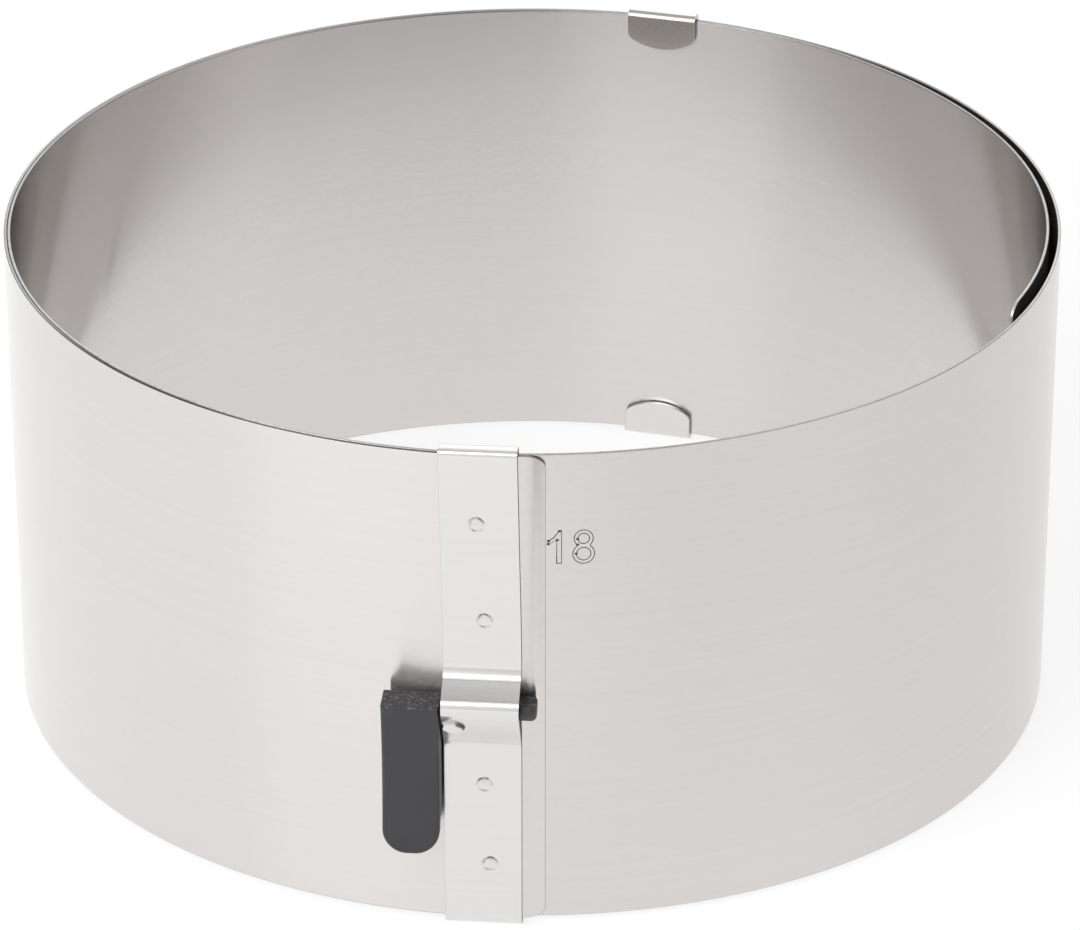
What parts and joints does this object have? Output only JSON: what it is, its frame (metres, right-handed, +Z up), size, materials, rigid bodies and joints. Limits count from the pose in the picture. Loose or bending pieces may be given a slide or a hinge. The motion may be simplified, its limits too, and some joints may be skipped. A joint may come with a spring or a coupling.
{
  "type": "adjustable cake ring",
  "caption": "Sprung steel strip coiled in overlapping layers as an open round mould, held by a clamp strap with a plastic cam lever and a rear slide guide.",
  "frame": {"origin": "on the ring's axis, at the surface that the ring stands on", "axes": "+Z up along the ring's axis, -Y towards the clamp's side, +X to the right seen from the front"},
  "size_m": [0.18, 0.1862, 0.087],
  "materials": {
    "band_steel": "stainless sheet, fine brushing along the strip",
    "strap_steel": "stainless sheet, smooth and bright",
    "lever_plastic": "black moulded plastic, satin"
  },
  "bodies": {
    "ring": {"band": "band_steel", "clamp_strap": "strap_steel"},
    "lever": {"cam_lever": "lever_plastic"},
    "guide": {"slide_guide": "strap_steel"}
  },
  "joints": [
    {"name": "lever_hinge", "type": "hinge", "parent": "ring", "child": "lever", "pos_m": [-0.00805, -0.09197, 0.04205], "axis": [-0.9962, 0.0872, 0], "range_deg": [0, 105]},
    {"name": "guide_slide", "type": "hinge", "parent": "ring", "child": "guide", "pos_m": [0, 0, 0], "axis": [0, 0, 1], "range_deg": [-7, 172]}
  ]
}
